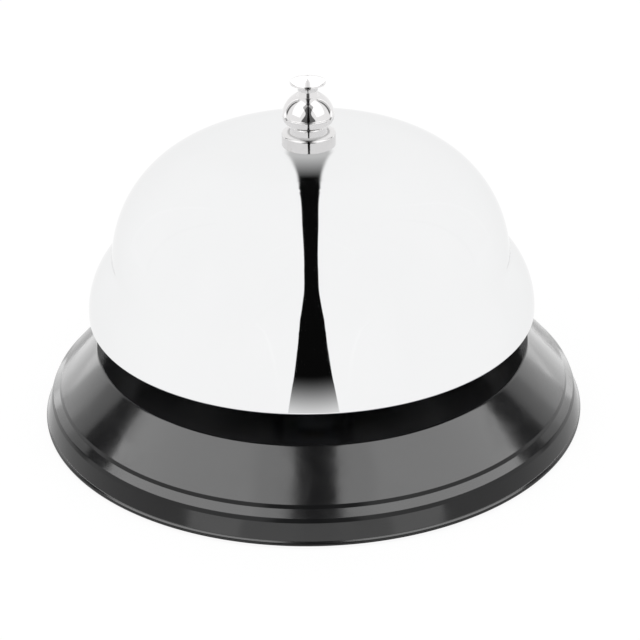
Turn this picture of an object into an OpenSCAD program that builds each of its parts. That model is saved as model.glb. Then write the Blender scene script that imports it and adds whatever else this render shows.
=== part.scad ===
// Counter service bell: a chrome gong on a hollow post, over a pressed steel base.
// A sprung plunger slides through the post and swings a hammer against the gong's skirt.
// Millimetres, +Z up. The origin is on the table, on the bell's centre line.
// The hammer's arm runs towards +Y, and its pivot lies along X.

/* [Base] */
// Widest diameter of the base cover
base_d = 87.6; // [86:0.2:90]
// Height of the flat deck above the table
deck_h = 12.1; // [11.8:0.1:12.4]
// Radius of the flat deck
deck_r = 34.4; // [33.8:0.2:34.8]
// Sheet thickness of the base cover
cover_t = 1; // [0.8:0.1:1.1]
// Thickness of the non-slip ring
pad_t = 1.6; // [1.4:0.1:1.8]
// Thickness of the base plate
plate_t = 1; // [0.8:0.1:1.2]

/* [Gong] */
// Height of the gong's flat crown
crown_h = 45.2; // [45:0.05:45.6]
// Radius of the flat on the crown, where the nut clamps
crown_r = 5; // [4.9:0.1:5.4]
// Radius of the shallow cap arc
cap_arc = 156; // [150:1:162]
// Slope at which the cap arc ends, in degrees
cap_a = 3.2; // [3.1:0.1:3.3]
// Radius of the round shoulder
shoulder_arc = 18.95; // [18.8:0.05:19.1]
// Slope at which the shoulder ends, in degrees
shoulder_a = 85.5; // [85:0.5:86]
// Radius of the hollow step above the skirt
step_arc = 1.2; // [1:0.1:1.5]
// Slope at which the step ends, in degrees
step_a = 42.5; // [42:0.5:43.5]
// Radius of the skirt's outward curve
skirt_arc = 11.7; // [11.5:0.1:11.9]
// Wall thickness of the gong
gong_t = 0.9; // [0.8:0.05:1]

/* [Finial and button] */
// Radius of the collar nut
collar_r = 4.2; // [4:0.1:4.5]
// Height of the collar nut
collar_t = 2.15; // [2:0.05:2.3]
// Radius of the ball
ball_r = 4.1; // [3.9:0.1:4.3]
// Radius of the short neck under the ball
neck_r = 2.8; // [2.7:0.1:3]
// Radius of the button's stem
stem_r = 1.55; // [1.5:0.05:1.6]
// Radius of the button's rim
button_r = 2.75; // [2.6:0.05:2.9]

/* [Mechanism] */
// How far the button travels
travel = 1.1; // [0.9:0.1:1.1]
// Radius of the plunger rod
rod_r = 1.1; // [1:0.05:1.15]
// Distance from the rod's axis to the pivot
lever = 5.2; // [5.2:0.1:5.4]
// Height of the hammer's pivot
pivot_h = 28.1; // [27.8:0.1:28.4]
// Radius of the pivot pin
pin_r = 1.2; // [1.1:0.05:1.2]
// Radius of the hammer head's round face
head_r = 3; // [2.8:0.1:3]
// Direction from the skirt arc's centre to the struck spot, in degrees
strike_a = 38; // [36:1:41]
// Space left between head and gong at full press
strike_gap = 0.35; // [0.3:0.05:0.5]
// Sheet thickness of the frame and of the arm
strip_t = 1.2; // [1.1:0.05:1.2]
// Wire diameter of the return spring
wire_d = 0.4; // [0.35:0.05:0.45]
// Turns of the return spring
spring_turns = 8; // [7:1:9]

/* [Hidden] */
$fn = 96;

// Fits: radial play of a sliding shaft, of a thread and of a loose hole
run_fit = 0.05;
thread_fit = 0.05;
loose_fit = 0.15;
over = 0.01;

// Base: points of the cover's outer face below the deck, as [radius, height]
base_r = base_d / 2;
slope_top = [deck_r + 0.8, deck_h - 0.4];
slope_end = [base_r - 2.8, 5.85];
groove_in = [base_r - 2.5, 5.2];
bead_top = [base_r - 2.2, 5.1];
bead_end = [base_r - 1.4, 4.3];
line_end = [base_r - 1.1, 3.75];
band_top = [base_r - 0.95, 3.6];
band_end = [base_r - 0.3, 1.25];
crease_in = [base_r - 0.34, 1.1];
rim_z = 0.4;
rim_round = 0.35;
hem_r = base_r - 1.6;
plate_top = pad_t + plate_t;
plate_r = hem_r - 0.35;
pad_out_r = plate_r - 0.7;
pad_in_r = 31;

// Four pillars tie frame, cover and plate together
pillar_x = 10.5;
pillar_y = 4.5;
pillar_af = 5.5;
stud_r = 1.5;
stud_top = deck_h + strip_t + 3.1;
nut_t = 2.4;
tap_r = 1.3;
tap_depth = 5;
screw_r = 1.25;
screw_head_r = 2.8;
screw_head_t = 1.1;

// Gong: each arc starts where the last one ends; a point is [radius, height, slope]
function arc_end(p, a, r) = [
    p[0] + abs(r) * abs(sin(a) - sin(p[2])),
    p[1] - abs(r) * abs(cos(p[2]) - cos(a)),
    a
];
cap_from = [crown_r, crown_h, 0];
shoulder_from = arc_end(cap_from, cap_a, cap_arc);
step_from = arc_end(shoulder_from, shoulder_a, shoulder_arc);
skirt_from = arc_end(step_from, step_a, step_arc);
skirt_end = arc_end(skirt_from, 90, skirt_arc);
gong_rim_z = skirt_end[1];
gong_under = crown_h - gong_t;
gong_hole_r = 2.65;

// Heights along the post
washer_t = 0.8;
shoulder_z = gong_under - washer_t;
bridge_top = 36;
flange_t = 1.2;
post_bottom = 31.9;
post_top = crown_h + collar_t;
post_thread_r = 3;
post_body_r = 3.6;
post_flange_r = 4.3;
post_tip_r = 2.5;
chamber_r = 2.3;
chamber_top = shoulder_z - 1.45;
guide_bore_z = crown_h - 0.15;
spigot_r = 1.9;
bush_t = 2;
lock_washer_t = 0.6;
post_nut_t = 2.1;
post_nut_af = 9;
collar_z = crown_h + 0.1;
top_washer_t = 0.5;
clip_t = 0.4;
spring_washer_t = 0.5;
clip_top = chamber_top - 0.05;
spring_top = clip_top - clip_t - spring_washer_t;
spring_bottom = post_bottom + bush_t;
clip_neck_r = 0.8;
clip_r = 2;
coil_r = 1.72;

// Finial and button heights
ball_z = crown_h + 4.65;
bowl_z = post_top + 1.2;
ball_mouth_r = 1.95;
mouth_z = ball_z + sqrt(pow(ball_r, 2) - pow(ball_mouth_r, 2));
step_z = ball_z + 0.9;
stem_bottom = step_z + travel + 0.15;
flare_arc = 1.2;
flare_z = mouth_z + 0.65;
button_rim_z = flare_z + flare_arc;
button_rim_t = 0.3;
button_crown = 0.5;
rod_top = flare_z + 0.3;

// Hammer: the finger is level half way through its swing
swing = 2 * atan(travel / (2 * lever));
finger_a = -swing / 2;
finger_rise = 2.6;
tip_gap = 0.08;
rod_tip = pivot_h + finger_rise / cos(finger_a) + lever * tan(-finger_a) + tip_gap;
pivot = [lever, pivot_h];
struck = [skirt_end[0] - skirt_arc, gong_rim_z]
    + (skirt_arc - gong_t - head_r - strike_gap) * [cos(strike_a), sin(strike_a)];
head_at = pivot + turned(struck - pivot, -swing);
seat_a = -8;
head_below = 1.4;
arm_w = 6;
arm_tip_w = 5;
ear_r = 2.4;
arm_tail = 2.6;
head_screw_r = 0.95;

// Frame: a strip bent into a bridge with two feet
leg_x = 6;
foot_x = 14;
leg_front = -6.2;
leg_back = 8.7;
bend_r = 1.6;
spacer_r = 2.1;
ear_out = arm_w / 2;
leg_in = leg_x - strip_t / 2;
leg_out = leg_x + strip_t / 2;

function dir(a) = [cos(a), sin(a)];
function side(a) = [-sin(a), cos(a)];
function turned(p, a) = [p[0] * cos(a) - p[1] * sin(a), p[0] * sin(a) + p[1] * cos(a)];
function heading(a, b) = atan2(b[1] - a[1], b[0] - a[0]);
function flip(v) = [for (i = [len(v) - 1 : -1 : 0]) v[i]];

// Points of a sheet's outer face along a tangent arc, pushed inwards by off
function arc_face(p, a, r, off, n) = [
    for (i = [0 : n])
        let (s = p[2] + (a - p[2]) * i / n, q = arc_end(p, s, r))
            [q[0] - off * sin(s), q[1] - off * cos(s)]
];

// A bent strip's centre line: corners rounded to radius r, as [point, heading] pairs
function bent(pts, r, n = 6) = [
    for (i = [0 : len(pts) - 1])
        let (
            a1 = i == 0 ? heading(pts[0], pts[1]) : heading(pts[i - 1], pts[i]),
            a2 = i == len(pts) - 1 ? a1 : heading(pts[i], pts[i + 1]),
            turn = a2 - a1 - 360 * round((a2 - a1) / 360),
            s = sign(turn),
            c = pts[i] - r * tan(abs(turn) / 2) * dir(a1) + s * r * side(a1)
        )
            for (k = [0 : s == 0 ? 0 : n])
                let (a = a1 + turn * k / n)
                    s == 0 ? [pts[i], a1] : [c - s * r * side(a), a]
];

// Outline of a strip of thickness t along the points
module strip(pts, r, t) {
    line = bent(pts, r);
    polygon(concat(
        [for (q = line) q[0] + t / 2 * side(q[1])],
        flip([for (q = line) q[0] - t / 2 * side(q[1])])
    ));
}

// Turns a drawing of [y, z] into a plate of width w across X
module across_x(w) {
    rotate([90, 0, 90]) linear_extrude(height = w, center = true) children();
}

// Turns a drawing of [x, z] into a bar along Y, from y0 to y1
module along_y(y0, y1) {
    translate([0, y1, 0]) rotate([90, 0, 0]) linear_extrude(height = y1 - y0) children();
}

module ring(r_out, r_in, z, t) {
    translate([0, 0, z]) difference() {
        cylinder(r = r_out, h = t);
        translate([0, 0, -over]) cylinder(r = r_in, h = t + 2 * over);
    }
}

// Hexagonal nut with flats facing X, its corners turned down at 30 degrees
module hex_nut(af, hole_r, z, t) {
    flat_r = af / 2 - 0.05;
    wide_r = af / 2 / cos(30) + 0.2;
    bevel = (wide_r - flat_r) * tan(30);
    translate([0, 0, z]) difference() {
        intersection() {
            rotate(30) cylinder(d = af / cos(30), h = t, $fn = 6);
            rotate_extrude() polygon([
                [0, 0], [flat_r, 0], [wide_r, bevel],
                [wide_r, t - bevel], [flat_r, t], [0, t]
            ]);
        }
        translate([0, 0, -over]) cylinder(r = hole_r, h = t + 2 * over);
    }
}

// Open snap ring that sits in a groove, lying flat at height z
module snap_ring(r_out, r_in, z, t, mouth) {
    difference() {
        ring(r_out, r_in, z, t);
        translate([-mouth / 2, 0, z - over]) cube([mouth, r_out + 1, t + 2 * over]);
    }
}

module at_pillars() {
    for (x = [-pillar_x, pillar_x], y = [-pillar_y, pillar_y])
        translate([x, y, 0]) children();
}

// The cover's sheet is drawn as its outer face, then its inner face back to the axis
module base_cover() {
    in_shift = cover_t * side(heading(slope_top, slope_end));
    color([0.03, 0.03, 0.03]) difference() {
        rotate_extrude() polygon(concat(
            [[0, deck_h], [deck_r, deck_h], [deck_r + 0.45, deck_h - 0.1], slope_top, slope_end],
            [groove_in, bead_top, bead_end, line_end, band_top, band_end, crease_in],
            [crease_in + [0.15, -0.15]],
            [for (k = [0 : 5]) [base_r - rim_round, rim_z + rim_round] + rim_round * dir(-90 * k / 5)],
            [[hem_r, rim_z], [hem_r, rim_z + 0.4], crease_in - [cover_t, 0], band_end - [cover_t, 0]],
            [band_top - [cover_t, 0.1], bead_top - 0.7 * cover_t * [1, 1]],
            [slope_end - in_shift, slope_top - in_shift],
            [[deck_r, deck_h - cover_t], [0, deck_h - cover_t]]
        ));
        at_pillars() translate([0, 0, deck_h - 2 * cover_t])
            cylinder(r = stud_r + loose_fit, h = 3 * cover_t);
    }
}

module base_plate() {
    color("silver") difference() {
        translate([0, 0, pad_t]) cylinder(r = plate_r, h = plate_t);
        at_pillars() translate([0, 0, pad_t - over])
            cylinder(r = stud_r + loose_fit, h = plate_t + 2 * over);
    }
}

module non_slip_ring() {
    color([0.12, 0.12, 0.12]) ring(pad_out_r, pad_in_r, 0, pad_t);
}

module base_pillars() {
    body_t = deck_h - cover_t - plate_top;
    color("lightsteelblue") at_pillars() difference() {
        union() {
            translate([0, 0, plate_top]) rotate(30)
                cylinder(d = pillar_af / cos(30), h = body_t, $fn = 6);
            translate([0, 0, plate_top]) cylinder(r = stud_r, h = stud_top - plate_top - 0.3);
            translate([0, 0, stud_top - 0.3]) cylinder(r1 = stud_r, r2 = stud_r - 0.3, h = 0.3);
        }
        translate([0, 0, plate_top - over]) cylinder(r = tap_r, h = tap_depth);
    }
}

module plate_screws() {
    slot_l = 1.7;
    slot_w = 0.45;
    slot_t = 0.6;
    head_z = pad_t - screw_head_t;
    color("silver") at_pillars() difference() {
        union() {
            translate([0, 0, pad_t]) cylinder(r = screw_r, h = plate_t + tap_depth - 0.6);
            rotate_extrude() polygon([
                [0, head_z], [screw_head_r - 0.6, head_z], [screw_head_r - 0.15, head_z + 0.35],
                [screw_head_r, head_z + 0.7], [screw_head_r, pad_t], [0, pad_t]
            ]);
        }
        for (a = [0, 90]) rotate(a) translate([-slot_l, -slot_w / 2, head_z - over])
            cube([2 * slot_l, slot_w, slot_t]);
    }
}

module frame_nuts() {
    color("lightsteelblue") at_pillars()
        hex_nut(pillar_af, stud_r + thread_fit, deck_h + strip_t, nut_t);
}

module mechanism_frame() {
    foot_z = deck_h + strip_t / 2;
    top_z = bridge_top - strip_t / 2;
    color("gainsboro") difference() {
        intersection() {
            along_y(leg_front - 2, leg_back) strip(
                [[-foot_x, foot_z], [-leg_x, foot_z], [-leg_x, top_z],
                 [leg_x, top_z], [leg_x, foot_z], [foot_x, foot_z]], bend_r, strip_t);
            across_x(2 * foot_x + 2) polygon([
                [leg_front - 1.6, deck_h - 1], [leg_back, deck_h - 1], [leg_back, pivot_h + 2],
                [post_flange_r + 1.2, bridge_top + 1], [-post_flange_r - 1.2, bridge_top + 1],
                [leg_front, pivot_h - 6]
            ]);
        }
        translate([0, 0, top_z - strip_t]) cylinder(r = post_thread_r + thread_fit, h = 2 * strip_t);
        at_pillars() translate([0, 0, foot_z - strip_t])
            cylinder(r = stud_r + loose_fit, h = 2 * strip_t);
        translate([0, pivot[0], pivot[1]]) rotate([0, 90, 0])
            cylinder(r = pin_r + 0.02, h = 2 * leg_x + 4, center = true);
        across_x(2 * leg_x + 4) {
            translate([0.5, 18]) circle(r = 3);
            translate([-2.5, 18]) square([6, 4.5]);
            translate([0.5, 22.5]) circle(r = 3);
        }
    }
}

module centre_post() {
    color("silver") difference() {
        union() {
            translate([0, 0, post_bottom]) cylinder(r = post_thread_r, h = shoulder_z - post_bottom);
            translate([0, 0, bridge_top]) cylinder(r = post_body_r, h = shoulder_z - bridge_top);
            translate([0, 0, bridge_top]) cylinder(r = post_flange_r, h = flange_t);
            translate([0, 0, shoulder_z]) cylinder(r = post_tip_r, h = post_top - shoulder_z - 0.1);
        }
        translate([0, 0, post_bottom - over]) cylinder(r = chamber_r, h = chamber_top - post_bottom + over);
        translate([0, 0, chamber_top - over]) cylinder(r = rod_r + run_fit, h = post_top - chamber_top);
        translate([0, 0, guide_bore_z]) cylinder(r = spigot_r + thread_fit, h = post_top);
    }
}

module post_nut() {
    color("silver") hex_nut(post_nut_af, post_thread_r + thread_fit,
        bridge_top - strip_t - lock_washer_t - post_nut_t, post_nut_t);
}

module post_lock_washer() {
    color("gray") ring(post_nut_af / 2 - 0.1, post_thread_r + thread_fit,
        bridge_top - strip_t - lock_washer_t, lock_washer_t);
}

module lower_bush() {
    color("goldenrod") ring(chamber_r, rod_r + run_fit, post_bottom, bush_t);
}

module seat_washer() {
    color("saddlebrown") ring(crown_r - 0.2, post_tip_r + thread_fit, shoulder_z, washer_t);
}

module gong() {
    cap_n = 6;
    shoulder_n = 24;
    step_n = 6;
    skirt_n = 10;
    function face(off) = concat(
        [[gong_hole_r, crown_h - off]],
        arc_face(cap_from, cap_a, cap_arc, off, cap_n),
        arc_face(shoulder_from, shoulder_a, shoulder_arc, off, shoulder_n),
        arc_face(step_from, step_a, step_arc, off, step_n),
        arc_face(skirt_from, 90, skirt_arc, off, skirt_n)
    );
    edge = [for (k = [1 : 3]) [skirt_end[0] - gong_t / 2, gong_rim_z] + gong_t / 2 * dir(-45 * k)];
    color("whitesmoke") rotate_extrude($fn = 128)
        polygon(concat(face(0), edge, flip(face(gong_t))));
}

module top_washer() {
    color("saddlebrown") ring(3.4, post_tip_r + thread_fit, crown_h, top_washer_t);
}

module collar_nut() {
    color("whitesmoke") rotate_extrude() polygon([
        [3.5, collar_z], [collar_r - 0.15, collar_z], [collar_r, collar_z + 0.15],
        [collar_r, post_top - 0.45], [collar_r - 0.12, post_top - 0.2], [collar_r - 0.4, post_top],
        [post_tip_r + thread_fit, post_top], [post_tip_r + thread_fit, crown_h + top_washer_t],
        [3.5, crown_h + top_washer_t]
    ]);
}

module ball_guide() {
    ridge_z = ball_z + 0.5;
    lip_r = 4.0;
    bowl_n = 6;
    ball_n = 14;
    from_a = asin((ridge_z - ball_z) / ball_r);
    to_a = acos(ball_mouth_r / ball_r);
    color("whitesmoke") rotate_extrude() polygon(concat(
        [[rod_r + run_fit, guide_bore_z + 0.1], [spigot_r, guide_bore_z + 0.1], [spigot_r, post_top]],
        [[neck_r, post_top], [neck_r, bowl_z - 0.2], [neck_r - 0.25, bowl_z]],
        [for (k = [0 : bowl_n]) let (a = 90 * k / bowl_n)
            [2.5 + (lip_r - 2.5) * sin(a), bowl_z + (ridge_z - 0.35 - bowl_z) * (1 - cos(a))]],
        [[lip_r + 0.05, ridge_z - 0.3], [lip_r - 0.08, ridge_z - 0.15]],
        [for (k = [0 : ball_n]) let (a = from_a + (to_a - from_a) * k / ball_n)
            [ball_r * cos(a), ball_z + ball_r * sin(a)]],
        [[stem_r + run_fit, mouth_z - 0.35], [stem_r + run_fit, step_z], [rod_r + run_fit, step_z]]
    ));
}

module plunger_button() {
    flare_n = 8;
    flare_to = acos(1 - (button_r - stem_r) / flare_arc);
    color("whitesmoke") difference() {
        rotate_extrude() polygon(concat(
            [[0, stem_bottom], [stem_r - 0.15, stem_bottom], [stem_r, stem_bottom + 0.15]],
            [for (k = [0 : flare_n]) let (a = flare_to * k / flare_n)
                [stem_r + flare_arc * (1 - cos(a)), flare_z + flare_arc * sin(a)]],
            [[button_r, button_rim_z + button_rim_t]],
            [for (k = [1 : 5]) let (s = 1 - k / 5)
                [button_r * s, button_rim_z + button_rim_t + button_crown * (1 - s * s)]]
        ));
        translate([0, 0, stem_bottom - over]) cylinder(r = rod_r + 0.02, h = rod_top - stem_bottom + 0.1);
    }
}

module plunger_rod() {
    color("silver") difference() {
        union() {
            translate([0, 0, rod_tip + rod_r]) cylinder(r = rod_r, h = rod_top - rod_tip - rod_r);
            translate([0, 0, rod_tip + rod_r]) sphere(r = rod_r);
        }
        ring(rod_r + 1, clip_neck_r, clip_top - clip_t, clip_t);
    }
}

module rod_clip() {
    color("dimgray") snap_ring(clip_r, clip_neck_r + 0.02, clip_top - clip_t, clip_t, 1.3);
}

module spring_washer() {
    color("silver") ring(clip_r, rod_r + 0.02, spring_top, spring_washer_t);
}

// Round wire swept along a helix, with flat-wound end turns
module return_spring() {
    sides = 8;
    steps = 18;
    rings = spring_turns * steps;
    low = spring_bottom + wire_d / 2;
    high = spring_top - wire_d / 2;
    dead = 0.1;
    function rise(s) = low + (high - low) * (s < dead ? 0.55 * s : s > 1 - dead ? 1 - 0.55 * (1 - s)
        : 0.55 * dead + (s - dead) * (1 - 1.1 * dead) / (1 - 2 * dead));
    function wire(i) = let (a = 360 * i / steps, z = rise(i / rings)) [
        for (k = [0 : sides - 1]) let (b = 360 * k / sides, r = coil_r + wire_d / 2 * cos(b))
            [r * cos(a), r * sin(a), z + wire_d / 2 * sin(b)]
    ];
    points = [for (i = [0 : rings]) each wire(i)];
    skin = [for (i = [0 : rings - 1], k = [0 : sides - 1]) let (m = (k + 1) % sides)
        each [
            [i * sides + k, i * sides + m, (i + 1) * sides + m],
            [i * sides + k, (i + 1) * sides + m, (i + 1) * sides + k]
        ]];
    ends = [[for (k = [sides - 1 : -1 : 0]) k], [for (k = [0 : sides - 1]) rings * sides + k]];
    color("dimgray") polyhedron(points = points, faces = concat(skin, ends));
}

module hammer_arm() {
    line = pivot + (finger_rise - strip_t / 2) * side(finger_a);
    under = head_at - (head_below + strip_t / 2) * side(seat_a);
    color("gainsboro") difference() {
        union() {
            intersection() {
                across_x(arm_w) strip([
                    line - (lever + 2.2) * dir(finger_a), line + 3.6 * dir(finger_a),
                    under - 5 * dir(seat_a), under + arm_tail * dir(seat_a)
                ], 2.2, strip_t);
                linear_extrude(height = crown_h) polygon([
                    [-1.7, -4], [1.7, -4], [arm_w / 2, -1], [arm_w / 2, lever + 4.5],
                    [arm_tip_w / 2, lever + 8], [arm_tip_w / 2, head_at[0] + 2],
                    [arm_tip_w / 2 - 1.1, head_at[0] + 4], [1.1 - arm_tip_w / 2, head_at[0] + 4],
                    [-arm_tip_w / 2, head_at[0] + 2], [-arm_tip_w / 2, lever + 8],
                    [-arm_w / 2, lever + 4.5], [-arm_w / 2, -1]
                ]);
            }
            for (x = [-1, 1]) translate([x * (ear_out - strip_t / 2), 0, 0]) across_x(strip_t) {
                translate(pivot) circle(r = ear_r);
                translate(pivot) rotate(finger_a) translate([-ear_r, 0])
                    square([2 * ear_r, finger_rise - strip_t / 2]);
            }
        }
        translate([0, pivot[0], pivot[1]]) rotate([0, 90, 0])
            cylinder(r = pin_r + run_fit, h = arm_w + 2, center = true);
        at_head() cylinder(r = head_screw_r + thread_fit, h = 12, center = true);
    }
}

// Places children at the head's centre, with Z along the head's own axis
module at_head() {
    translate([0, head_at[0], head_at[1]]) rotate([seat_a, 0, 0]) children();
}

module hammer_head() {
    face_n = 10;
    color("gold") at_head() difference() {
        rotate_extrude() polygon(concat(
            [[0, -head_below], [head_r - 0.3, -head_below], [head_r, 0.3 - head_below]],
            [for (k = [0 : face_n]) head_r * dir(90 * k / face_n)]
        ));
        translate([0, 0, -head_below - over]) cylinder(r = head_screw_r + thread_fit, h = 3);
    }
}

module head_screw() {
    top = -head_below - strip_t;
    color("silver") at_head() difference() {
        union() {
            translate([0, 0, top]) cylinder(r = head_screw_r, h = strip_t + 2.6);
            translate([0, 0, top - 0.9]) cylinder(r1 = 1.6, r2 = 1.9, h = 0.9);
        }
        translate([-2, -0.2, top - 1]) cube([4, 0.4, 0.5]);
    }
}

// Places children on the pivot's axis, with Z along +X
module on_pivot() {
    translate([0, pivot[0], pivot[1]]) rotate([0, 90, 0]) children();
}

module pivot_pin() {
    tail = leg_out + 1.4;
    color("silver") on_pivot() difference() {
        union() {
            translate([0, 0, -leg_out - 0.8]) cylinder(r1 = 1.7, r2 = 2, h = 0.8);
            translate([0, 0, -leg_out]) cylinder(r = pin_r, h = leg_out + tail);
        }
        ring(pin_r + 1, clip_neck_r, leg_out + 0.1, 0.5);
    }
}

module pivot_clip() {
    color("dimgray") on_pivot() rotate(180)
        snap_ring(2.4, clip_neck_r + 0.02, leg_out + 0.1, 0.5, 1.3);
}

module pivot_spacers() {
    gap = leg_in - ear_out;
    color("goldenrod") on_pivot() for (z = [-leg_in + 0.03, ear_out + 0.07])
        ring(spacer_r, pin_r + 0.03, z, gap - 0.1);
}

base_cover();
base_plate();
non_slip_ring();
base_pillars();
plate_screws();
frame_nuts();
mechanism_frame();
centre_post();
post_nut();
post_lock_washer();
lower_bush();
seat_washer();
gong();
top_washer();
collar_nut();
ball_guide();
plunger_button();
plunger_rod();
rod_clip();
spring_washer();
return_spring();
hammer_arm();
hammer_head();
head_screw();
pivot_pin();
pivot_clip();
pivot_spacers();
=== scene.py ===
import math

import bmesh
import bpy
from mathutils import Matrix, Vector


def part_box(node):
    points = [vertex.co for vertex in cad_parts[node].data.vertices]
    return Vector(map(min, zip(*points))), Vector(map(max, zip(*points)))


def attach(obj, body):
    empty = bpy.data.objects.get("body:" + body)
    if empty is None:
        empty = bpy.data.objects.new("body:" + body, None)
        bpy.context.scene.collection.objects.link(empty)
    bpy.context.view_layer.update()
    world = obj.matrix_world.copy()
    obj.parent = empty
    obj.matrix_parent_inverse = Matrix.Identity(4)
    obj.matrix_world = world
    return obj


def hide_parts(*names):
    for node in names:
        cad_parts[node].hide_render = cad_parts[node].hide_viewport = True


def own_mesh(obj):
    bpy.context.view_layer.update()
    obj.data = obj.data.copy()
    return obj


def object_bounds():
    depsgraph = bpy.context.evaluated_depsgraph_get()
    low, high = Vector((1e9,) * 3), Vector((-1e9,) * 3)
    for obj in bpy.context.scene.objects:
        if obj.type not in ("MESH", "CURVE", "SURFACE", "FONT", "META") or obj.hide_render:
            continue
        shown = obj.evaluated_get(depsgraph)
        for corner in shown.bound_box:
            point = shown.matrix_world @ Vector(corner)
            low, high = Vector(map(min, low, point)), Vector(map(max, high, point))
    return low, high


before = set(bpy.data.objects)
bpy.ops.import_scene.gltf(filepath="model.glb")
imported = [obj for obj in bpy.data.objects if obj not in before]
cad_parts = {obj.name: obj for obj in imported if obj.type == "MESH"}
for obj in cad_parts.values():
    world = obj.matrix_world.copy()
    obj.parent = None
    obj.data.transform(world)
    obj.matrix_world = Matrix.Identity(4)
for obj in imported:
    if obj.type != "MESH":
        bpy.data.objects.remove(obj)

# Lengths are written in millimetres and turned into metres where a mesh is made.
MM = 0.001
CAD_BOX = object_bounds()
SPIN_SIDES = 256
SIDES = (("left", -1), ("right", 1))


# ---------------------------------------------------------------- sizes from the frame

def span(node):
    """Outer radius, lowest and highest point of a CAD node, in millimetres."""
    low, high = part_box(node)
    return (high.x - low.x) / 2 / MM, low.z / MM, high.z / MM


# ---------------------------------------------------------------- outlines

# The most that one fillet may take of the line on either side of its corner
FILLET_SHARE = 0.49
FILLET_STEPS, SMALL_STEPS, TINY_STEPS = 6, 4, 3


def arc(centre, radius, start, end, steps):
    """Points (radius, height) along an arc, angles in degrees from the outward direction."""
    turn = [math.radians(start + (end - start) * i / steps) for i in range(steps + 1)]
    return [(centre[0] + radius * math.cos(a), centre[1] + radius * math.sin(a)) for a in turn]


def rounded(corners, steps):
    """A line through (radius, height, fillet) corners, each turned with its own fillet."""
    line = []
    for i, (x, z, fillet) in enumerate(corners):
        here = Vector((x, z))
        if i in (0, len(corners) - 1) or fillet == 0:
            line.append((x, z))
            continue
        back = Vector(corners[i - 1][:2]) - here
        ahead = Vector(corners[i + 1][:2]) - here
        half = back.angle(ahead) / 2
        reach = min(fillet / math.tan(half), FILLET_SHARE * back.length,
                    FILLET_SHARE * ahead.length)
        start = here + back.normalized() * reach
        end = here + ahead.normalized() * reach
        for k in range(steps + 1):
            t = k / steps
            bow = here * 2 * t * (1 - t) + start * (1 - t) ** 2 + end * t ** 2
            line.append((bow.x, bow.y))
    return line


def sheet_arc(start, slope, radius, steps, inset):
    """Follows a tangent arc of a drawn sheet; start is (radius, height, slope in degrees).

    Gives the face that lies inset below the arc, and the arc's own last point.
    """
    x, z, first = start
    line = []
    for i in range(steps + 1):
        a = first + (slope - first) * i / steps
        run = radius * abs(math.sin(math.radians(a)) - math.sin(math.radians(first)))
        fall = radius * abs(math.cos(math.radians(a)) - math.cos(math.radians(first)))
        line.append((x + run, z - fall, a))
    face = [(px - inset * math.sin(math.radians(a)), pz - inset * math.cos(math.radians(a)), a)
            for px, pz, a in line]
    return face, line[-1]


# ---------------------------------------------------------------- meshes

# Edges bent more than this many degrees are sharp, unless a shape says otherwise
SMOOTH_BELOW = 32
ALL_SMOOTH = 180
# A point of an outline nearer to the axis than this is a pole, in millimetres
POLE_RADIUS = 1e-6
# A CAD mesh is welded within this distance, in metres, and faces this flat are merged
WELD = 2e-6
FLAT_WITHIN = 0.5
# Springs: sides round the wire, steps round a turn, share of the wire that lies flat at the
# ends, and the bend below which the wire is smooth
WIRE_SIDES, COIL_STEPS = 12, 32
COIL_FLAT = 0.1
WIRE_SMOOTH = 60


def as_object(name, bm, smooth_below=SMOOTH_BELOW):
    """Turns a bmesh into an object, smooth except across edges sharper than the angle."""
    bmesh.ops.recalc_face_normals(bm, faces=bm.faces)
    mesh = bpy.data.meshes.new(name)
    bm.to_mesh(mesh)
    bm.free()
    mesh.shade_smooth()
    mesh.set_sharp_from_angle(angle=math.radians(smooth_below))
    obj = bpy.data.objects.new(name, mesh)
    bpy.context.scene.collection.objects.link(obj)
    return obj


def spin(name, outline, closed=True, sides=SPIN_SIDES, smooth_below=SMOOTH_BELOW):
    """Spins an outline of (radius, height) round the Z axis. A point on the axis is a pole."""
    bm = bmesh.new()
    turn = [2 * math.pi * i / sides for i in range(sides)]
    rings = []
    for r, z in outline:
        if r < POLE_RADIUS:
            rings.append([bm.verts.new((0, 0, z * MM))] * sides)
        else:
            rings.append([bm.verts.new((r * math.cos(a) * MM, r * math.sin(a) * MM, z * MM))
                          for a in turn])
    pairs = list(zip(rings, rings[1:]))
    if closed:
        pairs.append((rings[-1], rings[0]))
    for one, two in pairs:
        for i in range(sides):
            k = (i + 1) % sides
            unique = list(dict.fromkeys((one[i], one[k], two[k], two[i])))
            if len(unique) > 2:
                bm.faces.new(unique)
    return as_object(name, bm, smooth_below)


def refined(name, node, bevel):
    """A CAD node's shape with its flat faces merged and its sharp edges broken."""
    bm = bmesh.new()
    bm.from_mesh(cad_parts[node].data)
    bmesh.ops.remove_doubles(bm, verts=bm.verts, dist=WELD)
    bmesh.ops.dissolve_limit(bm, angle_limit=math.radians(FLAT_WITHIN), verts=bm.verts,
                             edges=bm.edges)
    obj = as_object(name, bm)
    edge = obj.modifiers.new("broken_edges", "BEVEL")
    edge.width = bevel * MM
    edge.segments = 2
    edge.limit_method = "ANGLE"
    edge.angle_limit = math.radians(SMOOTH_BELOW)
    edge.harden_normals = True
    edge.use_clamp_overlap = True
    return obj


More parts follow.
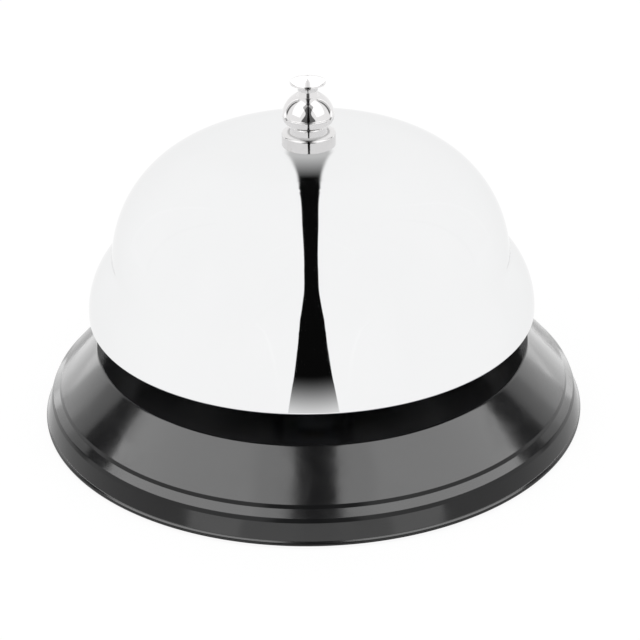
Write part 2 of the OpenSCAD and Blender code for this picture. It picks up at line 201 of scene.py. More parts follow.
def helix(name, radius, wire, low, high, turns):
    """Round wire wound into a spring, its end turns lying flat."""
    bm = bmesh.new()
    rings = []
    count = turns * COIL_STEPS
    for i in range(count + 1):
        rise = min(max((i / count - COIL_FLAT / 2) / (1 - COIL_FLAT), 0), 1)
        a = 2 * math.pi * i / COIL_STEPS
        z = low + wire / 2 + (high - low - wire) * rise
        ring = []
        for k in range(WIRE_SIDES):
            b = 2 * math.pi * k / WIRE_SIDES
            r = radius + wire / 2 * math.cos(b)
            ring.append(bm.verts.new((r * math.cos(a) * MM, r * math.sin(a) * MM,
                                      (z + wire / 2 * math.sin(b)) * MM)))
        rings.append(ring)
    for one, two in zip(rings, rings[1:]):
        for k in range(WIRE_SIDES):
            m = (k + 1) % WIRE_SIDES
            bm.faces.new((one[k], one[m], two[m], two[k]))
    bm.faces.new(rings[0])
    bm.faces.new(rings[-1])
    return as_object(name, bm, WIRE_SMOOTH)


# ---------------------------------------------------------------- node graphs

# The Mix node's colour sockets
MIX_ONE, MIX_TWO, MIX_RESULT = 6, 7, 2


class Graph:
    """Shorthand for building a node tree."""

    def __init__(self, tree):
        self.tree = tree
        tree.nodes.clear()

    def node(self, kind, **settings):
        made = self.tree.nodes.new(kind)
        for key, value in settings.items():
            setattr(made, key, value)
        return made

    def feed(self, socket, value):
        """Links a socket to another, or sets its value."""
        if isinstance(value, bpy.types.NodeSocket):
            self.tree.links.new(value, socket)
        elif value is not None:
            socket.default_value = value

    def math(self, operation, *values, clamp=False):
        made = self.node("ShaderNodeMath", operation=operation, use_clamp=clamp)
        for socket, value in zip(made.inputs, values):
            self.feed(socket, value)
        return made.outputs[0]

    def remap(self, value, low, high, to_low=0.0, to_high=1.0, smooth=False):
        made = self.node("ShaderNodeMapRange", clamp=True)
        made.interpolation_type = "SMOOTHSTEP" if smooth else "LINEAR"
        for socket, item in zip(made.inputs, (value, low, high, to_low, to_high)):
            self.feed(socket, item)
        return made.outputs[0]

    def mix(self, share, one, two):
        made = self.node("ShaderNodeMix", data_type="RGBA")
        self.feed(made.inputs["Factor"], share)
        self.feed(made.inputs[MIX_ONE], one)
        self.feed(made.inputs[MIX_TWO], two)
        return made.outputs[MIX_RESULT]

    def noise(self, vector, scale, detail, rough, warp=0.0):
        made = self.node("ShaderNodeTexNoise")
        self.feed(made.inputs["Vector"], vector)
        for key, value in (("Scale", scale), ("Detail", detail), ("Roughness", rough),
                           ("Distortion", warp)):
            made.inputs[key].default_value = value
        return made.outputs["Fac"]

    def stretched(self, vector, factors):
        made = self.node("ShaderNodeMapping")
        self.feed(made.inputs["Vector"], vector)
        made.inputs["Scale"].default_value = factors
        return made.outputs[0]

    def curve(self, value, stops):
        """A smooth curve through (position, level) stops, both from 0 to 1."""
        made = self.node("ShaderNodeValToRGB")
        made.color_ramp.interpolation = "CARDINAL"
        points = made.color_ramp.elements
        while len(points) < len(stops):
            points.new(0.5)
        for point, (at, level) in zip(points, stops):
            point.position = at
            point.color = (level, level, level, 1)
        self.feed(made.inputs["Fac"], value)
        return made.outputs["Color"]


def grey(level, tint=(1, 1, 1)):
    """A level of grey, or the same share of a tint, as a colour socket takes it."""
    return (level * tint[0], level * tint[1], level * tint[2], 1)


# Noise as (detail, roughness, warp), and how much finer than a finish's patches it is
PATCH_NOISE = (4.0, 0.6, 0.4)
SCUFF_NOISE, SCUFF_FINER = (5.0, 0.65), 9
SMUDGE_NOISE, SMUDGE_FINER = (5.0, 0.6, 0.8), 2.6
# The parts of each noise's range that are used
PATCH_RANGE, SCUFF_RANGE, SMUDGE_RANGE = (0.3, 0.7), (0.35, 0.65), (0.32, 0.7)
# How much rougher a worn edge is, and the share of the colour that painted shade in hollows
# leaves
WORN_ROUGHER = 0.12
CREASE_SHADE_SHARE = 0.25
BUMP_ROUGH = 0.5
# A lathe's rings: noise per metre across and along the axis, its detail and roughness
RING_SCALE = (60, 60, 9000)
RING_NOISE = (2.0, 0.6)


def finish_of(name, colour, worn, metallic, rough, spread, patch, wear=(0.53, 0.62), crease=0.0,
              hollow=(0.49, 0.42), bumps=(), turned=0.0, ior=1.5, sheen_edge=1.0):
    """A procedural finish.

    colour and worn are the plain and the edge-worn colours, rough the lowest and highest
    roughness, spread the share by which colour varies over patches of 1/patch metres, wear the
    pointiness where an edge's wear starts and where it is full, crease how far hollows darken
    as painted shade, hollow the pointiness where that starts and where it is full, bumps a list
    of (noise scale, height in mm, detail), turned the height in mm of the fine rings that a lathe
    leaves, and sheen_edge the brightness of a metal seen aslant.
    """
    made = bpy.data.materials.new(name)
    made.use_nodes = True
    g = Graph(made.node_tree)
    where = g.node("ShaderNodeTexCoord").outputs["Object"]
    point = g.node("ShaderNodeNewGeometry").outputs["Pointiness"]
    shader = g.node("ShaderNodeBsdfPrincipled")

    scuffs = g.remap(g.noise(where, patch * SCUFF_FINER, *SCUFF_NOISE), *SCUFF_RANGE)
    edge = g.math("MULTIPLY", g.remap(point, *wear), scuffs)
    patches = g.remap(g.noise(where, patch, *PATCH_NOISE), *PATCH_RANGE)
    tone = g.mix(patches, grey(1 - spread, colour), grey(1 + spread, colour))
    tone = g.mix(edge, tone, (*worn, 1))
    # Hollows found by pointiness are darkened toward a share of the colour: painted shade
    if crease:
        crease_shade = g.remap(point, *hollow, 0.0, crease)
        tone = g.mix(crease_shade, tone, grey(CREASE_SHADE_SHARE, colour))
    g.feed(shader.inputs["Base Color"], tone)

    smudge = g.noise(where, patch * SMUDGE_FINER, *SMUDGE_NOISE)
    level = g.remap(smudge, *SMUDGE_RANGE, *rough)
    worn_level = g.math("ADD", level, g.math("MULTIPLY", edge, WORN_ROUGHER))
    g.feed(shader.inputs["Roughness"], worn_level)
    relief(g, shader, where, bumps, turned)

    shader.inputs["Metallic"].default_value = metallic
    shader.inputs["IOR"].default_value = ior
    shader.inputs["Specular Tint"].default_value = grey(sheen_edge)
    g.feed(g.node("ShaderNodeOutputMaterial").inputs["Surface"], shader.outputs["BSDF"])
    return made


def relief(g, shader, where, bumps, turned):
    """Feeds a finish's bumps and lathe rings to its shader."""
    normal = None
    for scale, height, detail in bumps:
        normal = bump(g, g.noise(where, scale, detail, BUMP_ROUGH), height, normal)
    if turned:
        rings = g.noise(g.stretched(where, RING_SCALE), 1.0, *RING_NOISE)
        normal = bump(g, rings, turned, normal)
    g.feed(shader.inputs["Normal"], normal)


def bump(g, height, size, before):
    """The normal of a bump of this size in mm, laid over the normal before it."""
    made = g.node("ShaderNodeBump")
    made.inputs["Distance"].default_value = size * MM
    g.feed(made.inputs["Height"], height)
    g.feed(made.inputs["Normal"], before)
    return made.outputs["Normal"]


# ---------------------------------------------------------------- finishes

CHROME = (0.865, 0.868, 0.872)
# A darker copy of the chrome for the gong's inside: painted shade
SHADED_CHROME = (0.34, 0.34, 0.35)
FINIAL_CHROME = (0.76, 0.75, 0.75)
NICKEL = (0.62, 0.60, 0.57)
BLACK = (0.002, 0.002, 0.0021)
WORN_BLACK = (0.02, 0.0196, 0.019)
STEEL = (0.46, 0.46, 0.47)
BRIGHT_STEEL = (0.58, 0.58, 0.59)
DARK_STEEL = (0.30, 0.30, 0.32)
ZINC = (0.55, 0.57, 0.60)
BRASS = (0.66, 0.47, 0.20)
WORN_BRASS = (0.78, 0.60, 0.33)
FIBRE = (0.16, 0.065, 0.03)
WORN_FIBRE = (0.28, 0.15, 0.09)
FOAM = (0.022, 0.022, 0.023)
WORN_FOAM = (0.05, 0.05, 0.05)
METAL, PLAIN = 1.0, 0.0

# What finish_of takes: colour, worn colour, metal or plain, roughness, spread and patch first
LOOKS = {
    "gong_chrome": ((CHROME, NICKEL, METAL, (0.015, 0.035), 0.006, 60),
                    {"bumps": [(55, 0.0015, 2.0)], "sheen_edge": 0.92}),
    "gong_inside": ((SHADED_CHROME, NICKEL, METAL, (0.3, 0.45), 0.12, 90),
                    {"bumps": [(1500, 0.003, 3.0)], "turned": 0.004}),
    # The finial's strong crease darkening is painted shade that outlines the ball, neck and
    # collar
    "finial_chrome": ((FINIAL_CHROME, NICKEL, METAL, (0.06, 0.10), 0.03, 240),
                      {"crease": 0.85, "hollow": (0.498, 0.46), "wear": (0.6, 0.72),
                       "bumps": [(900, 0.0006, 2.0)], "turned": 0.0003}),
    "black_enamel": ((BLACK, WORN_BLACK, PLAIN, (0.10, 0.18), 0.25, 70),
                     {"wear": (0.56, 0.68), "ior": 1.36,
                      "bumps": [(95, 0.07, 1.5), (330, 0.006, 2.0), (1300, 0.0012, 2.0)]}),
    "zinc_plate": ((ZINC, STEEL, METAL, (0.26, 0.42), 0.14, 130),
                   {"crease": 0.5, "bumps": [(1400, 0.004, 4.0)]}),
    "turned_steel": ((BRIGHT_STEEL, STEEL, METAL, (0.16, 0.3), 0.08, 200),
                     {"crease": 0.5, "turned": 0.004}),
    "spring_steel": ((DARK_STEEL, STEEL, METAL, (0.22, 0.36), 0.12, 300),
                     {"bumps": [(2600, 0.002, 3.0)]}),
    "brass": ((BRASS, WORN_BRASS, METAL, (0.18, 0.34), 0.12, 220),
              {"crease": 0.6, "turned": 0.003}),
    "fibre": ((FIBRE, WORN_FIBRE, PLAIN, (0.55, 0.75), 0.25, 400),
              {"bumps": [(3200, 0.02, 5.0)]}),
    "foam": ((FOAM, WORN_FOAM, PLAIN, (0.75, 0.95), 0.3, 500),
             {"bumps": [(2400, 0.12, 3.0)]}),
}
FINISHES = {name: finish_of(name, *look, **extras) for name, (look, extras) in LOOKS.items()}


def paint(obj, finish):
    """Gives an object one finish in place of any others."""
    obj.data.materials.clear()
    obj.data.materials.append(FINISHES[finish])


def piece(obj, body, finish, slot, *nodes):
    """A new piece: its finish, its body, its material slot, which is not used, and the nodes it
    stands for.
    """
    paint(obj, finish)
    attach(obj, body)
    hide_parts(*nodes)
    return obj


# ---------------------------------------------------------------- gong

GONG_WALL = 0.9
GONG_HOLE = 2.65
# Radius of the flat that the collar clamps
GONG_FLAT = 5.0
LIP_STEPS = 10
# Cap, shoulder, hollow step and skirt: slope where each arc ends, its radius, its steps
GONG_ARCS = ((3.2, 156.0, 16), (85.5, 18.95, 56), (42.5, 1.2, 14), (90.0, 11.7, 26))
# Slope where the buffed sheen starts
BUFF_FROM = 81.0
# How far from the left-right line the sheen starts, and over how much it fades in (sines)
BUFF_SIDES = (0.2, 0.3)


def gong_face(inset, crown_z):
    """One face of the gong's sheet, from the centre hole to the rim: (radius, height, slope)."""
    line = [(GONG_HOLE, crown_z - inset, 0.0)]
    at = (GONG_FLAT, crown_z, 0.0)
    for slope, radius, steps in GONG_ARCS:
        face, at = sheet_arc(at, slope, radius, steps, inset)
        line += face if len(line) == 1 else face[1:]
    return line, at


def buffed_slopes(face):
    """Slopes that the polish shows: buffing carries the shoulder's sheen over the step."""
    first = next(i for i, point in enumerate(face) if point[2] >= BUFF_FROM)
    path = [0.0]
    for one, two in zip(face[first:], face[first + 1:]):
        path.append(path[-1] + math.dist(one[:2], two[:2]))
    return ([point[2] for point in face[:first]]
            + [BUFF_FROM + (90 - BUFF_FROM) * run / path[-1] for run in path])


def buff(obj, face):
    """Gives the outer face the normals of the buffed slopes, or its own at left and right."""
    normals = [v.normal.copy() for v in obj.data.vertices]
    for i, (point, buffed) in enumerate(zip(face, buffed_slopes(face))):
        for k in range(SPIN_SIDES):
            turn = 2 * math.pi * k / SPIN_SIDES
            share = min(max((abs(math.sin(turn)) - BUFF_SIDES[0]) / BUFF_SIDES[1], 0), 1)
            eased = share ** 2 * (3 - 2 * share)
            tilt = math.radians(point[2] + (buffed - point[2]) * eased)
            normals[i * SPIN_SIDES + k] = Vector((math.sin(tilt) * math.cos(turn),
                                                  math.sin(tilt) * math.sin(turn),
                                                  math.cos(tilt)))
    obj.data.normals_split_custom_set_from_vertices(normals)


def make_gong():
    crown_z = span("gong")[2]
    outer, end = gong_face(0.0, crown_z)
    inner, _ = gong_face(GONG_WALL, crown_z)
    middle = (end[0] - GONG_WALL / 2, end[1])
    lip = arc(middle, GONG_WALL / 2, 0, -180, LIP_STEPS)[1:-1]
    outline = [p[:2] for p in outer] + lip + [p[:2] for p in inner[::-1]]
    obj = spin("gong_shell", outline, smooth_below=ALL_SMOOTH)
    buff(obj, outer)
    piece(obj, "bell", "gong_chrome", "chrome", "gong")
    # The inside faces get rougher plating, which is real, and the darker chrome, which is painted
    # shade
    obj.data.materials.append(FINISHES["gong_inside"])
    first_inner = (len(outer) + len(lip)) * SPIN_SIDES
    for face in obj.data.polygons:
        if min(face.vertices) >= first_inner:
            face.material_index = 1
    return obj


# ---------------------------------------------------------------- base

BASE_SHEET = 1.0
# A ring of the flat deck that keeps its faces short
DECK_RING = 20
BASE_SMOOTH = 50
# Outside corners: how far in from the base's widest, how far below its top, and the fillet.
# They are the slope's head and foot, the groove, and the bead's shoulder and foot
COVER_UPPER = ((8.95, 0, 0.7), (2.74, 6.31, 0.15), (2.5, 6.88, 0.12), (1.4, 7.8, 0.35),
               (1.1, 8.4, 0.2))
# The same, but with the height above the table: the band's foot, the crease above the rim,
# the rolled rim, and the hem turned in under it
COVER_LOWER = ((0.3, 0.8, 0.08), (0.37, 0.66, 0.05), (0.12, 0.5, 0.1), (0.02, 0.3, 0.1),
               (0.03, 0, 0.12), (1.6, 0, 0.2), (1.6, 0.4, 0.1))
# Inside corners, from the crease up: one from the table, and the rest from the top
LINING_LOWER = (1.3, 0.85, 0.3)
LINING_UPPER = ((1.95, 8.6, 0.4), (2.9, 7.7, 0.3), (9.5, BASE_SHEET, 1.0))
# The pad's hole, where its outline starts and ends beside that, and its fillets
PAD_INNER, PAD_SEAM = 31.0, 1.0
PAD_SOFT, PAD_CRISP = 0.35, 0.1


def make_base_cover():
    r, low, top = span("base_cover")

    def below_top(corners):
        return [(r - inward, top - down, fillet) for inward, down, fillet in corners]

    def above_table(corners):
        return [(r - inward, low + up, fillet) for inward, up, fillet in corners]

    outside = [(0, top, 0), (DECK_RING, top, 0), *below_top(COVER_UPPER),
               *above_table(COVER_LOWER)]
    inside = [*above_table([LINING_LOWER]), *below_top(LINING_UPPER), (0, top - BASE_SHEET, 0)]
    obj = spin("base_shell", rounded(outside + inside, FILLET_STEPS), closed=False,
               smooth_below=BASE_SMOOTH)
    return piece(obj, "bell", "black_enamel", "black_enamel", "base_cover")


def make_pad():
    r, low, top = span("non_slip_ring")
    seam = (PAD_INNER + PAD_SEAM, low, 0)
    corners = [seam, (r, low, PAD_SOFT), (r, top, PAD_CRISP), (PAD_INNER, top, PAD_CRISP),
               (PAD_INNER, low, PAD_SOFT), seam]
    obj = spin("foam_ring", rounded(corners, FILLET_STEPS)[:-1])
    piece(obj, "bell", "foam", "foam", "non_slip_ring")


# ---------------------------------------------------------------- finial and button

FINIAL_SMOOTH = 40
BALL_SIDES, BUTTON_SIDES = 160, 128

# Collar: radii of its bore and undercut, how far foot and undercut stand above the gong,
# where its outline starts and ends beside the bore, and its fillets
COLLAR_BORE, COLLAR_RECESS = 2.55, 3.5
COLLAR_FOOT, COLLAR_HOLLOW = 0.1, 0.5
COLLAR_SEAM = 0.6
FOOT_FILLET, CROWN_FILLET, BORE_FILLET, RECESS_FILLET = 0.12, 0.32, 0.1, 0.05

# Ball: radii of its mouth, the button's well, the rod's bore and the spigot, and the width
# and height of the spigot's chamfer
MOUTH, WELL, ROD_BORE, SPIGOT = 1.95, 1.6, 1.15, 1.9
SPIGOT_CHAMFER = (0.05, 0.1)
# Heights above the ball's middle of its ridge and the well's floor, and of the bowl's waist
# above the collar
RIDGE_UP, WELL_UP, WAIST_UP = 0.5, 0.9, 1.2
# Corners under the bowl: radius, height above the collar or above the waist, fillet
NECK_LOWER = ((2.2, 0, 0), (2.8, 0, 0.05))
NECK_UPPER = ((2.8, -0.18, 0.08), (2.52, 0, 0.06), (2.8, 0.01, 0))
# The bowl: where its curve starts, how far out it goes, and what it leaves for the ridge
BOWL_RADIUS, BOWL_REACH, BOWL_START, RIDGE_DEPTH = 2.6, 1.42, 0.02, 0.35
# Corners of the ridge and of the mouth's lip: radius, height above their own, fillet
RIDGE = ((4.02, -0.3, 0), (4.05, -0.26, 0.02), (3.97, -0.14, 0.05), (4.07, -0.04, 0))
LIP = ((MOUTH, 0, 0), (1.83, 0, 0.05), (WELL, -0.35, 0.08))
BOWL_STEPS, BALL_STEPS = 14, 26

# Button: its stem's radius and chamfer, heights of its flare, rim and dome
STEM, CHAMFER = 1.55, 0.15
FLARE, RIM, DOME = 1.2, 0.3, 0.5
# The rim's rounding: how far in the dome starts, its rise there, and its corners' inset
RIM_INWARD, RIM_RISE, RIM_INSET = 0.25, 0.07, 0.02
RIM_UNDER_FILLET, RIM_TOP_FILLET = 0.02, 0.1
FLARE_STEPS, DOME_STEPS = 18, 12


def lifted(corners, z):
    """Corners (radius, height, fillet) with their heights counted from z."""
    return [(r, z + up, fillet) for r, up, fillet in corners]


def make_collar():
    r, _, top = span("collar_nut")
    gong_z = span("gong")[2]
    foot_z, hollow_z = gong_z + COLLAR_FOOT, gong_z + COLLAR_HOLLOW
    seam = (COLLAR_BORE + COLLAR_SEAM, hollow_z, 0)
    corners = [
        seam, (COLLAR_RECESS, hollow_z, RECESS_FILLET), (COLLAR_RECESS, foot_z, RECESS_FILLET),
        (r, foot_z, FOOT_FILLET), (r, top, CROWN_FILLET), (COLLAR_BORE, top, BORE_FILLET),
        (COLLAR_BORE, hollow_z, RECESS_FILLET), seam,
    ]
    obj = spin("collar", rounded(corners, FILLET_STEPS)[:-1])
    return piece(obj, "bell", "finial_chrome", "chrome", "collar_nut")


def ball_bowl(waist_z, ridge_z):
    """The bowl under the ball's ridge, from its waist out and up to the ridge's foot."""
    height = ridge_z - RIDGE_DEPTH - waist_z - BOWL_START
    turns = [math.radians(90 * k / BOWL_STEPS) for k in range(1, BOWL_STEPS + 1)]
    return [(BOWL_RADIUS + BOWL_REACH * math.sin(a),
             waist_z + BOWL_START + height * (1 - math.cos(a))) for a in turns]


def make_ball():
    r, low, top = span("ball_guide")
    seat = span("collar_nut")[2]
    ball_z = top - math.sqrt(r ** 2 - MOUTH ** 2)
    ridge_z, well_z = ball_z + RIDGE_UP, ball_z + WELL_UP
    waist_z = seat + WAIST_UP
    inward, up = SPIGOT_CHAMFER
    line = [(ROD_BORE, low), (SPIGOT - inward, low), (SPIGOT, low + up), (SPIGOT, seat)]
    line += rounded(lifted(NECK_LOWER, seat) + lifted(NECK_UPPER, waist_z), SMALL_STEPS)
    line += ball_bowl(waist_z, ridge_z)
    line += rounded(lifted(RIDGE, ridge_z), TINY_STEPS)[1:]
    first = math.degrees(math.asin(RIDGE_UP / r))
    last = math.degrees(math.acos(MOUTH / r))
    line += arc((0, ball_z), r, first, last, BALL_STEPS)
    line += rounded([*lifted(LIP, top), (WELL, well_z, 0)], TINY_STEPS)[1:]
    line.append((ROD_BORE, well_z))
    obj = spin("ball_top", line, sides=BALL_SIDES, smooth_below=FINIAL_SMOOTH)
    return piece(obj, "bell", "finial_chrome", "chrome", "ball_guide")


def make_button():
    r, low, top = span("plunger_button")
    rim_z = top - DOME - RIM
    rim_top = rim_z + RIM
    last = math.acos(1 - (r - STEM) / FLARE)
    turns = [last * k / FLARE_STEPS for k in range(FLARE_STEPS + 1)]
    line = [(0, low), (STEM - CHAMFER, low), (STEM, low + CHAMFER)]
    line += [(STEM + FLARE * (1 - math.cos(a)), rim_z - FLARE + FLARE * math.sin(a))
             for a in turns]
    rim = [(r - RIM_INSET, rim_z, 0), (r, rim_z + RIM_INSET, RIM_UNDER_FILLET),
           (r, rim_top - RIM_INSET, RIM_TOP_FILLET), (r - RIM_INWARD, rim_top + RIM_RISE, 0)]
    line += rounded(rim, SMALL_STEPS)[1:]
    for k in range(1, DOME_STEPS + 1):
        share = (1 - RIM_INWARD / r) * (1 - k / DOME_STEPS)
        line.append((r * share, rim_top + DOME * (1 - share ** 2)))
    obj = spin("press_button", line, closed=False, sides=BUTTON_SIDES, smooth_below=FINIAL_SMOOTH)
    return piece(obj, "plunger", "finial_chrome", "chrome", "plunger_button")


# ---------------------------------------------------------------- mechanism

SPRING_RADIUS, SPRING_WIRE, SPRING_TURNS = 1.72, 0.4, 8


def make_spring():
    _, low, high = span("return_spring")
    obj = helix("coil_spring", SPRING_RADIUS, SPRING_WIRE, low, high, SPRING_TURNS)
    piece(obj, "bell", "spring_steel", "spring_steel", "return_spring")
    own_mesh(obj)


# New piece, node, body, finish (which is also its slot), width of the broken edges
REFINED = (
    ("floor_plate", "base_plate", "bell", "zinc_plate", 0.2),
    ("pillars", "base_pillars", "bell", "zinc_plate", 0.12),
    ("plate_screw_set", "plate_screws", "bell", "zinc_plate", 0.06),
    ("frame_nut_set", "frame_nuts", "bell", "zinc_plate", 0.08),
    ("frame_strip", "mechanism_frame", "bell", "zinc_plate", 0.14),
    ("post", "centre_post", "bell", "turned_steel", 0.1),
    ("clamp_nut", "post_nut", "bell", "zinc_plate", 0.08),
    ("arm", "hammer_arm", "hammer", "zinc_plate", 0.14),
    ("striker", "hammer_head", "hammer", "brass", 0.12),
    ("striker_screw", "head_screw", "hammer", "zinc_plate", 0.06),
    ("hinge_pin", "pivot_pin", "bell", "turned_steel", 0.12),
)

# CAD nodes whose shape is kept, with the finish they get
KEPT = {
    "post_lock_washer": "spring_steel", "lower_bush": "brass", "seat_washer": "fibre",
    "top_washer": "fibre", "plunger_rod": "turned_steel", "rod_clip": "spring_steel",
    "spring_washer": "zinc_plate", "pivot_clip": "spring_steel", "pivot_spacers": "brass",
}


def make_mechanism():
    for name, node, body, finish, bevel in REFINED:
        piece(refined(name, node, bevel), body, finish, finish, node)
    for node, finish in KEPT.items():
        paint(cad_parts[node], finish)
    make_spring()


# ---------------------------------------------------------------- studio

# Sizes in this part are in metres
WHITE_LEVEL, DARK_LEVEL, DIM_LEVEL = 1.04, 0.003, 0.14
# Half-widths, in degrees, of the tent's dark gap at angles up from the front horizon:
# as the gong sees it, and as the other pieces see it
GONG_GAP = ((-40, 12.5), (-24, 9.5), (-12, 7.3), (5, 6.1), (25, 4.15), (50, 3.4), (95, 2.78),
            (131, 1.62), (138, 1.32), (142, 1.08), (146, 0.87), (150, 0.68), (157, 0.67),
            (164, 0), (180, 0))
OTHER_GAP = ((-40, 16), (-20, 18), (-4, 30), (15, 20), (31, 12.0), (50, 17), (63, 20),
             (75, 7.0), (100, 6.5), (140, 3.0), (155, 0), (180, 0))
# Width that the curve through those stops counts as 1, and how soft each gap's edge is
GAP_WIDEST = 40.0
GONG_SOFT, OTHER_SOFT = 0.12, 1.2
# Where both gaps fade in under the front horizon, and where the gong's fades over the crown,
# down to a share of its darkness
GAP_FADE = (-36.0, -21.0)
CROWN_FADE, CROWN_SHARE = (150.9, 157.5), 0.42
# Dark posts between front and side cards: turn from +Y, half-width, lowest and highest, and
# over how much they fade in below and out above
POST_TURN, POST_HALF, POST_SOFT = 65.0, 10.5, 1.5
POST_LOW, POST_HIGH = -6.0, 62.0
POST_FADE_LOW, POST_FADE_HIGH = 8.0, 16.0
SHELL_RADIUS = 60.0
# The floor: its width, how far it lies below the bell, what it reflects and how it glows
FLOOR_SIZE, FLOOR_DROP = 6.0, 0.00002
FLOOR_TONE, FLOOR_ROUGH, FLOOR_GLOW = 0.12, 0.9, 0.92

# Lights are given as centre, facing, size and radiance. Those named for a side stand on
# the right, and again mirrored on the left. Side cards and discs simply face the bell.
# Boxes over the base: their inner edges with the light each adds, the outer edge they share
BOX_STEPS = ((0.09, 6.2), (0.15, 2.4), (0.21, 2.2), (0.28, 1.2))
BOX_OUTER, BOX_DEPTH = 1.19, 0.8
BOX_Y, BOX_Z = -0.20, 0.60
SIDE_CARDS = (("_card", (0.55, 0.50, 0.24), (0.5, 0.42), 1.6),
              ("_low_card", (0.27, 0.53, 0.05), (0.4, 0.3), 1.8))
FRONT_CARD = ((0, -1.0, -0.05), (0, 1, 0), (2.4, 0.3), 2.2)
TABLE_BOUNCE = ((0, -0.95, -0.3), (0, 0, 1), (1.9, 0.9), 2.2)
BUTTON_FILL = ((0, 0.45, 0.6), (0, -0.6, -0.8), (0.5, 1.4), 0.9)
FINIAL_BOX = ((1.05, 0.62, 0.5), (-1.05, -0.62, -0.45), (0.30, 1.6), 0.6)
FINIAL_DISC = ((0.72, -0.45, 0.85), (1.0, 1.4), 0.4)

# Camera: degrees above the table, distance, its turns from facing the bell, and its lens
DOWN, DISTANCE = 30.135, 0.318
PAN, TILT, ROLL = 0.236, 2.31, -0.93
SENSOR_MM, LENS_MM = 36.0, 107.99
NEAREST = 0.01


def gap(g, x, rise, widths, soft):
    """1 inside the dark gap and 0 outside, for a direction's x and its rise in degrees."""
    stops = [((at + 180) / 360, width / GAP_WIDEST) for at, width in widths]
    half = g.math("MULTIPLY", g.curve(g.remap(rise, -180.0, 180.0), stops), GAP_WIDEST)
    off = g.math("DEGREES", g.math("ARCSINE", g.math("ABSOLUTE", x)))
    inside = g.remap(g.math("SUBTRACT", half, off), -soft, soft, smooth=True)
    return g.math("MULTIPLY", inside, g.remap(rise, *GAP_FADE, smooth=True))


def posts(g, x, y, z):
    """1 on the two dark posts behind the bell's left and right."""
    turn = g.math("DEGREES", g.math("ARCTAN2", g.math("ABSOLUTE", x), y))
    off = g.math("ABSOLUTE", g.math("SUBTRACT", turn, POST_TURN))
    height = g.math("DEGREES", g.math("ARCSINE", z))
    across = g.remap(off, POST_HALF - POST_SOFT, POST_HALF + POST_SOFT, 1.0, 0.0, smooth=True)
    above = g.remap(height, POST_LOW, POST_LOW + POST_FADE_LOW, smooth=True)
    below = g.remap(height, POST_HIGH - POST_FADE_HIGH, POST_HIGH, 1.0, 0.0, smooth=True)
    return g.math("MULTIPLY", across, g.math("MULTIPLY", above, below))


def tent(g, direction):
    """The tent's light in a direction: what every piece sees, and what only the gong adds."""
    split = g.node("ShaderNodeSeparateXYZ")
    g.feed(split.inputs[0], direction)
    x, y, z = split.outputs
    rise = g.math("DEGREES", g.math("ARCTAN2", z, g.math("MULTIPLY", y, -1.0)))
    narrow = gap(g, x, rise, GONG_GAP, GONG_SOFT)
    wide = g.math("MAXIMUM", gap(g, x, rise, OTHER_GAP, OTHER_SOFT), posts(g, x, y, z))
    faded = g.remap(rise, *CROWN_FADE, 1.0, CROWN_SHARE)
    for_gong = g.remap(g.math("MULTIPLY", narrow, faded), 0.0, 1.0, WHITE_LEVEL, DARK_LEVEL)
    dim = g.remap(wide, 0.0, 1.0, WHITE_LEVEL, DIM_LEVEL)
    shared = g.math("MINIMUM", for_gong, dim)
    return shared, g.math("SUBTRACT", for_gong, shared, clamp=True)


def make_world():
    """A white tent with a dark gap from the front horizon over the top to the back.

    The camera itself sees plain white behind the bell.
    """
    world = bpy.data.worlds.new("studio")
    bpy.context.scene.world = world
    world.use_nodes = True
    g = Graph(world.node_tree)
    shared, _ = tent(g, g.node("ShaderNodeTexCoord").outputs["Generated"])
    camera = g.node("ShaderNodeLightPath").outputs["Is Camera Ray"]
    back = g.node("ShaderNodeBackground")
    g.feed(back.inputs["Color"], g.mix(camera, shared, grey(1.0)))
    g.feed(g.node("ShaderNodeOutputWorld").inputs["Surface"], back.outputs[0])


def make_gong_shell(gong):
    """A clear shell that fills the wide gaps with light for the gong alone."""
    bm = bmesh.new()
    bmesh.ops.create_uvsphere(bm, u_segments=64, v_segments=32, radius=SHELL_RADIUS)
    shell = as_object("studio_shell", bm)
    glow = bpy.data.materials.new("shell_glow")
    glow.use_nodes = True
    glow.cycles.emission_sampling = "NONE"
    g = Graph(glow.node_tree)
    place = g.node("ShaderNodeTexCoord").outputs["Object"]
    direction = g.node("ShaderNodeVectorMath", operation="NORMALIZE")
    g.feed(direction.inputs[0], place)
    _, extra = tent(g, direction.outputs[0])
    light = g.node("ShaderNodeEmission")
    g.feed(light.inputs["Strength"], extra)
    both = g.node("ShaderNodeAddShader")
    g.feed(both.inputs[0], light.outputs[0])
    g.feed(both.inputs[1], g.node("ShaderNodeBsdfTransparent").outputs[0])
    g.feed(g.node("ShaderNodeOutputMaterial").inputs["Surface"], both.outputs[0])
    shell.data.materials.append(glow)
    shell.visible_shadow = False
    shell.visible_diffuse = False
    light_only(shell, gong)


def make_floor(z):
    """A glowing pale disc that is seen from above only, and that no piece mirrors."""
    bm = bmesh.new()
    bmesh.ops.create_circle(bm, cap_ends=True, segments=96, radius=FLOOR_SIZE / 2)
    floor = as_object("studio_floor", bm)
    floor.location.z = z
    pale = bpy.data.materials.new("pale_floor")
    pale.use_nodes = True
    g = Graph(pale.node_tree)
    shader = g.node("ShaderNodeBsdfPrincipled")
    shader.inputs["Base Color"].default_value = grey(FLOOR_TONE)
    shader.inputs["Roughness"].default_value = FLOOR_ROUGH
    shader.inputs["Specular IOR Level"].default_value = 0.0
    shader.inputs["Emission Color"].default_value = grey(1.0)
    shader.inputs["Emission Strength"].default_value = FLOOR_GLOW
    sides = g.node("ShaderNodeMixShader")
    g.feed(sides.inputs[0], g.node("ShaderNodeNewGeometry").outputs["Backfacing"])
    g.feed(sides.inputs[1], shader.outputs[0])
    g.feed(sides.inputs[2], g.node("ShaderNodeBsdfTransparent").outputs[0])
    g.feed(g.node("ShaderNodeOutputMaterial").inputs["Surface"], sides.outputs[0])
    floor.data.materials.append(pale)
    floor.visible_glossy = False
    floor.visible_shadow = False


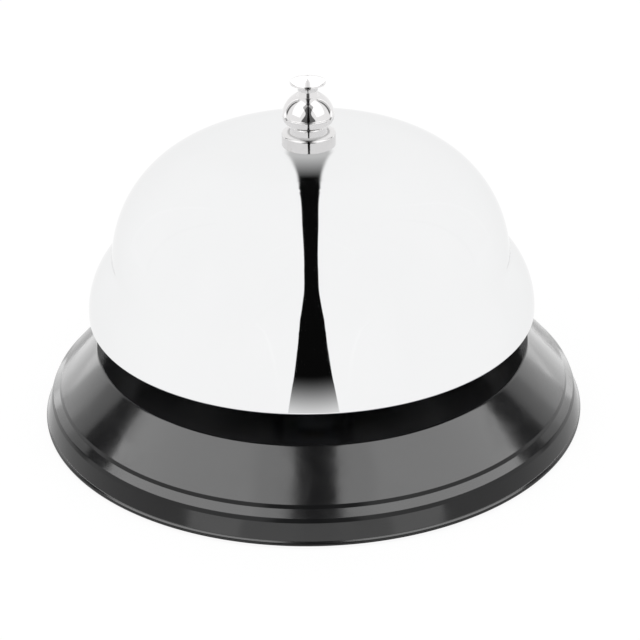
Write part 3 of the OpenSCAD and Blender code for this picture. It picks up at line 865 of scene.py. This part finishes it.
def softbox(name, centre, facing, size, radiance, *lit):
    """A rectangular light that shines along facing and is seen only by the given pieces."""
    data = bpy.data.lights.new(name, "AREA")
    data.shape = "RECTANGLE"
    data.size, data.size_y = size
    data.energy = radiance * math.pi * size[0] * size[1]
    light = bpy.data.objects.new(name, data)
    light.location = centre
    light.rotation_euler = Vector(facing).to_track_quat("-Z", "Y").to_euler()
    bpy.context.scene.collection.objects.link(light)
    light_only(light, *lit)


def light_only(light, *lit):
    """Hides a light from the camera and lets it shine on the given pieces alone."""
    light.visible_camera = False
    group = bpy.data.collections.new(light.name + "_lit")
    for obj in lit:
        group.objects.link(obj)
    light.light_linking.receiver_collection = group


def mirrored(place, side):
    """A place or direction as it is on the right, or mirrored to the left."""
    return Vector((side * place[0], place[1], place[2]))


def light_base(base):
    """Softboxes over the bell's left and right, side cards, and bounce from the table."""
    for name, side in SIDES:
        for i, (inner, radiance) in enumerate(BOX_STEPS):
            softbox("%s_box_%d" % (name, i), (side * (inner + BOX_OUTER) / 2, BOX_Y, BOX_Z),
                    (0, 0, -1), (BOX_OUTER - inner, BOX_DEPTH), radiance, base)
        for kind, centre, size, radiance in SIDE_CARDS:
            place = mirrored(centre, side)
            softbox(name + kind, place, -place, size, radiance, base)
    softbox("front_card", *FRONT_CARD, base)
    softbox("table_bounce", *TABLE_BOUNCE, base)


def light_finial(finial):
    """Fill over the button's dome and over most of the dark posts, and two bright discs."""
    softbox("button_fill", *BUTTON_FILL, finial[-1])
    for name, side in SIDES:
        centre, facing, size, radiance = FINIAL_BOX
        softbox(name + "_finial_box", mirrored(centre, side), mirrored(facing, side), size,
                radiance, *finial)
        centre, size, radiance = FINIAL_DISC
        place = mirrored(centre, side)
        softbox(name + "_disc", place, -place, size, radiance, *finial)


def make_camera():
    """The photograph's viewing angle: in front of the bell and above the table."""
    down, pan, tilt, roll = (math.radians(angle) for angle in (DOWN, PAN, TILT, ROLL))
    place = Vector((0, -DISTANCE * math.cos(down), DISTANCE * math.sin(down)))
    ahead = Vector((0, math.cos(down), -math.sin(down)))
    right = Vector((1, 0, 0))
    aim = (ahead + math.tan(pan) * right + math.tan(tilt) * right.cross(ahead)).normalized()
    side = aim.cross(Vector((0, 0, 1))).normalized()
    top = side.cross(aim)
    across = math.cos(roll) * side + math.sin(roll) * top
    up = -math.sin(roll) * side + math.cos(roll) * top
    data = bpy.data.cameras.new("camera")
    data.sensor_width = SENSOR_MM
    data.lens = LENS_MM
    data.clip_start = NEAREST
    camera = bpy.data.objects.new("camera", data)
    turn = Matrix((across, up, -aim)).transposed()
    camera.matrix_world = Matrix.Translation(place) @ turn.to_4x4()
    bpy.context.scene.collection.objects.link(camera)
    bpy.context.scene.camera = camera


def main():
    make_camera()
    gong = make_gong()
    base = make_base_cover()
    make_pad()
    finial = (make_collar(), make_ball(), make_button())
    make_mechanism()
    # Kept out of reflections, so that the stripe's grey head under the collar stays clear
    for part in (*finial, base, bpy.data.objects["post"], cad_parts["plunger_rod"],
                 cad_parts["top_washer"]):
        part.visible_glossy = False
    make_world()
    make_gong_shell(gong)
    make_floor(CAD_BOX[0].z - FLOOR_DROP)
    light_base(base)
    light_finial(finial)
    bpy.context.scene.view_settings.view_transform = "Standard"


main()
